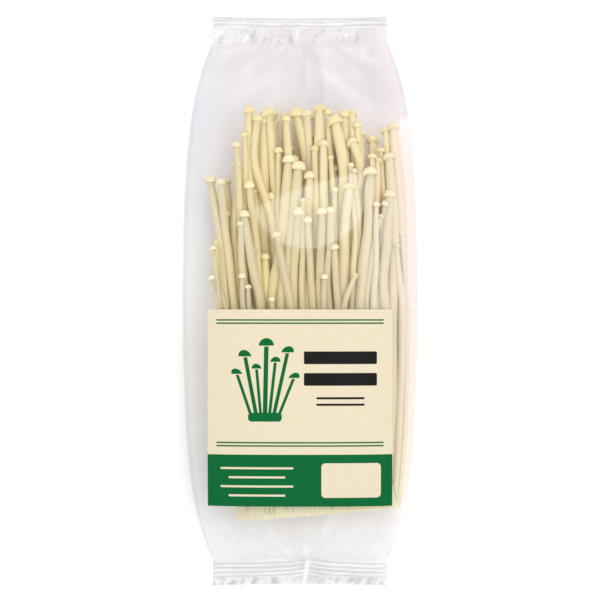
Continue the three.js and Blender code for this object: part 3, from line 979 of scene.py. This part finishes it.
clear_film, film_tree, film_shader = new_material("clear_film")
film_lavender = (0.42, 0.34, 0.43, 1.0)
film_grey = (0.56, 0.55, 0.61, 1.0)
film_blue = (0.44, 0.46, 0.58, 1.0)
film_pink = (0.46, 0.32, 0.41, 1.0)
film_glint = (1.0, 1.0, 1.0, 1.0)
film_shine = (1.0, 0.97, 0.82, 1.0)
# The tint of the painted glare.
film_glare_tint = (1.0, 0.89, 0.89, 1.0)
film_shadow = (0.30, 0.29, 0.34, 1.0)
film_thin, film_hazy = 0.053, 0.069  # how much a wall hides, at the bottom and at the top
wet_clearing = 0.042  # the film is clearer by this where it lies on the moist stems
painted_glint_mark, shade_mark, painted_shine_mark, contact_mark, rim_mark, darkening_mark, glare_mark = (
    marked(film_tree, name)
    for name in ("painted_glint", "shade", "painted_shine", "contact", "rim", "darkening", "glare")
)


def worked_out(operation, first, second=0.0):
    """The result of a Math node. Its second input is a number or the output of a node."""
    node = first.id_data.nodes.new("ShaderNodeMath")
    node.operation = operation
    for socket, given in zip(node.inputs, (first, second)):
        fill_socket(socket, given)
    return node.outputs["Value"]


# The haze of each wall of film: thinner where it lies on the moist stems, thicker at the sides, and
# thicker with the painted glints, shade, shine, glare and darkening.
film_place = film_tree.nodes.new("ShaderNodeTexCoord")
film_split = film_tree.nodes.new("ShaderNodeSeparateXYZ")
fill_socket(film_split.inputs["Vector"], film_place.outputs["Object"])
film_x, film_y = film_split.outputs["X"], film_split.outputs["Y"]
film_alpha = shaped(film_y, -0.06, 0.07, film_thin, film_hazy)
cleared = worked_out("MULTIPLY", contact_mark, wet_clearing)
film_alpha = worked_out("SUBTRACT", film_alpha, cleared)
for mark, strength in (
    (painted_glint_mark, 0.16), (shade_mark, 0.12), (painted_shine_mark, 0.09),
    (rim_mark, 0.06), (darkening_mark, 0.035), (glare_mark, 0.3),
):
    film_alpha = worked_out("ADD", film_alpha, worked_out("MULTIPLY", mark, strength))
fill_socket(film_shader.inputs["Alpha"], film_alpha)
toward_top_right = worked_out("ADD", film_y, worked_out("MULTIPLY", film_x, 1.5))
pink_band = worked_out("MULTIPLY", shaped(film_x, 0.0274, 0.0286), shaped(film_y, 0.045, 0.07))
# The film's own tints, with painted glare, painted shade, painted glints and a painted reflection
# laid over them.
film_colour = layered(
    film_grey,
    (shaped(toward_top_right, -0.06, 0.08), film_lavender),
    (shaped(film_x, -0.037, -0.031, 1.0, 0.0), film_blue),
    (pink_band, film_pink),
    (shaped(glare_mark, 0.0, 0.3), film_glare_tint),
    (shade_mark, film_shadow),
    (painted_glint_mark, film_glint),
    (painted_shine_mark, film_shine),
)
fill_socket(film_shader.inputs["Base Color"], film_colour)
film_shader.inputs["Roughness"].default_value = 0.16
film_shader.inputs["Specular IOR Level"].default_value = 0.9
cover(film, clear_film)
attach(film, "root")
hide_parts("film_bag")


# ---- The fin seal: the two edges of the sheet of film, joined along the back of the bag. It is a
# double strip that is folded flat in the groove over it, and the end seals catch both its ends.

fin_columns, fin_rows = 8, 150
fin_thickness = 0.3
fin_short = 1.0  # the strip is this much shorter than the bag
fin_drop = 0.45  # it lies this far under the back ply of an end seal
fin = flat_sheet("fin_seal", fin_columns, fin_rows)
fin_marks = []
for vertex in fin.data.vertices:
    x = (vertex.co.x + 0.5) * fin_width
    y = vertex.co.y * (bag_length - fin_short)
    hang = bottom_height(y) + 0.15 * settled(y)
    z = lerp(hang, seal_height - ply_gap / 2 - fin_drop, seal_press(y))
    ripple = 0.12 * noise.noise(Vector((x * 0.2, y * 0.15, 0.0))) * settled(y)
    vertex.co = Vector((x, y, z + abs(ripple) + crimp(x, y))) * MM
    fin_marks.append(dict(
        shade=0.6 * seal_press(y) * ease(fin_width - 0.5, 2.0, x) if y < 0 else 0.0,
        contact=1.0 + 0.25 * seal_press(y),
        rim=0.3 * ease(0.8, 1.0, x / fin_width) * (1 - seal_press(y)),
    ))
keep_marks(fin.data, fin_marks)
thicken(fin, fin_thickness, offset=1.0)
bpy.ops.object.shade_smooth_by_angle(angle=film_smooth)
cover(fin, clear_film)
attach(fin, "root")
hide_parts("film_bag")


# ---- The label: one sheet of coated paper, printed cream and green, stuck on the front film.
# It is a flat sheet that is laid over the film's curve and then gets its thickness.

label_lift = 0.12
label_thickness = 0.2
label_smooth = math.radians(40)
label_columns, label_rows = 56, 48
label = flat_sheet("paper_label", label_columns, label_rows)
label_middle = (label_top + label_bottom) / 2
for vertex in label.data.vertices:
    x = vertex.co.x * label_width
    y = label_middle + vertex.co.y * (label_top - label_bottom)
    z = front_height(x, y) + label_lift
    vertex.co = Vector((x, y, z)) * MM
thicken(label, label_thickness, offset=1.0)
bpy.ops.object.shade_smooth_by_angle(angle=label_smooth)

paper, paper_tree, paper_shader = new_material("label_paper")
paper_cream = (0.70, 0.625, 0.46, 1.0)
paper_straw = (0.69, 0.61, 0.438, 1.0)
print_green = (0.001, 0.118, 0.030, 1.0)
print_charcoal = (0.009, 0.009, 0.008, 1.0)
band_top = -57.0
print_edge = 0.06  # half the width over which a printed edge fades
cap_gap = 0.3  # a printed stem ends this far below its cap
stem_to_cap = 0.3  # the width of a printed stem, as a share of its cap
clump_foot = -44.0


def print_group(name, *input_names):
    """A node group that turns a place on the label into one printed shape's mask."""
    group = bpy.data.node_groups.new(name, "ShaderNodeTree")
    for input_name in ("X", "Y", *input_names):
        group.interface.new_socket(input_name, in_out="INPUT", socket_type="NodeSocketFloat")
    group.interface.new_socket("Mask", in_out="OUTPUT", socket_type="NodeSocketFloat")
    inputs = group.nodes.new("NodeGroupInput").outputs
    return group, inputs, group.nodes.new("NodeGroupOutput").inputs["Mask"]


def far_off(across, along):
    """How far off a place is that lies this far across and this far along."""
    squares = [worked_out("POWER", part, 2.0) for part in (across, along)]
    return worked_out("SQRT", worked_out("ADD", *squares))


# A box with round corners: the distance outside it, turned to a crisp mask.
box_group, box_in, box_out = print_group(
    "printed_box", "Centre X", "Centre Y", "Half width", "Half height", "Corner"
)
outside = []
for place, centre, half in (("X", "Centre X", "Half width"), ("Y", "Centre Y", "Half height")):
    away = worked_out("ABSOLUTE", worked_out("SUBTRACT", box_in[place], box_in[centre]))
    away = worked_out("SUBTRACT", away, box_in[half])
    outside.append(worked_out("MAXIMUM", worked_out("ADD", away, box_in["Corner"]), 0.0))
distance = worked_out("SUBTRACT", far_off(*outside), box_in["Corner"])
fill_socket(box_out, shaped(distance, 0.0, 2 * print_edge, 1.0, 0.0))

# A mushroom with a leaning stem and a half-round cap, a little over the stem.
icon_group, icon_in, icon_out = print_group(
    "printed_mushroom", "Foot X", "Foot Y", "Height", "Lean", "Cap"
)
up = worked_out("SUBTRACT", icon_in["Y"], icon_in["Foot Y"])
lean = worked_out("MULTIPLY", up, icon_in["Lean"])
sideways = worked_out("SUBTRACT", icon_in["X"], icon_in["Foot X"])
sideways = worked_out("ABSOLUTE", worked_out("SUBTRACT", sideways, lean))
stem_half = worked_out("MULTIPLY", icon_in["Cap"], stem_to_cap)
beside_stem = worked_out("SUBTRACT", sideways, stem_half)
over_cap_base = worked_out("SUBTRACT", up, icon_in["Height"])
in_stem = shaped(beside_stem, -print_edge, print_edge, 1.0, 0.0)
over_foot = shaped(up, -print_edge, print_edge)
under_cap = shaped(over_cap_base, -cap_gap - print_edge, -cap_gap + print_edge, 1.0, 0.0)
stem_mask = worked_out("MULTIPLY", in_stem, worked_out("MULTIPLY", over_foot, under_cap))
past_cap = worked_out("SUBTRACT", far_off(sideways, over_cap_base), icon_in["Cap"])
in_cap = shaped(past_cap, -print_edge, print_edge, 1.0, 0.0)
cap_mask = worked_out("MULTIPLY", in_cap, shaped(over_cap_base, -print_edge, print_edge))
fill_socket(icon_out, worked_out("MAXIMUM", stem_mask, cap_mask))

paper_place = paper_tree.nodes.new("ShaderNodeTexCoord")
paper_split = paper_tree.nodes.new("ShaderNodeSeparateXYZ")
fill_socket(paper_split.inputs["Vector"], paper_place.outputs["Object"])
paper_x = worked_out("DIVIDE", paper_split.outputs["X"], MM)
paper_y = worked_out("DIVIDE", paper_split.outputs["Y"], MM)


def printed(group, *values):
    """The mask of one printed shape."""
    node = paper_tree.nodes.new("ShaderNodeGroup")
    node.node_tree = group
    for socket, value in zip(node.inputs, (paper_x, paper_y, *values)):
        fill_socket(socket, value)
    return node.outputs["Mask"]


def inked(colour, ink, shapes):
    """The colour of the label once these shapes are printed over it."""
    mask = shapes[0]
    for shape in shapes[1:]:
        mask = worked_out("MAXIMUM", mask, shape)
    return blend_colours(mask, colour, ink)


# The green band, then a clump of mushrooms in the same green, and plain bars and rules.
band_middle = (band_top + label_bottom) / 2 - 2
band = [printed(box_group, 0.0, band_middle, label_width, band_top - band_middle, 0.0)]
clump = [
    printed(icon_group, foot_x, clump_foot, height, lean, cap)
    for foot_x, height, lean, cap in (
        (-17.6, 17.0, -0.34, 2.0), (-15.9, 23.5, -0.19, 2.4), (-14.4, 19.0, -0.09, 1.8),
        (-13.0, 27.5, 0.02, 2.8), (-11.5, 21.5, 0.11, 1.9), (-10.1, 25.0, 0.22, 2.3),
        (-8.5, 15.5, 0.4, 2.0),
    )
]
tie = [printed(box_group, -13.0, -43.0, 6.2, 1.6, 1.2)]
bars = [
    printed(box_group, 15.0, middle, half, thick, 0.5)
    for middle, half, thick in (
        (-21.0, 13.5, 2.3), (-29.0, 13.5, 2.3), (-36.0, 9.0, 0.35), (-38.4, 9.0, 0.35),
    )
]
frame_lines = [
    printed(box_group, 0.0, middle, 31.0, 0.22, 0.0) for middle in (-7.0, -8.2, -52.5, -53.7)
]
pale_rules = [
    printed(box_group, -16.0, -62.0 - 3.4 * row, 13.5 - 3.0 * (row % 2), 0.32, 0.3)
    for row in range(4)
]
panel = [printed(box_group, 19.0, -66.6, 11.0, 6.4, 1.4)]
mottle = paper_tree.nodes.new("ShaderNodeTexNoise")
mottle.inputs["Scale"].default_value = 420.0
mottle.inputs["Detail"].default_value = 3.0
fill_socket(mottle.inputs["Vector"], paper_place.outputs["Object"])
mottled = shaped(mottle.outputs["Fac"], 0.42, 0.62)
bare_paper = blend_colours(mottled, paper_cream, paper_straw)
paper_colour = inked(bare_paper, print_green, band + clump + tie + frame_lines)
paper_colour = inked(paper_colour, print_charcoal, bars)
paper_colour = inked(paper_colour, bare_paper, pale_rules + panel)
fill_socket(paper_shader.inputs["Base Color"], paper_colour)
paper_shader.inputs["Roughness"].default_value = 0.55
paper_shader.inputs["Specular IOR Level"].default_value = 0.08
cover(label, paper)
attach(label, "root")
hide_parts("label")
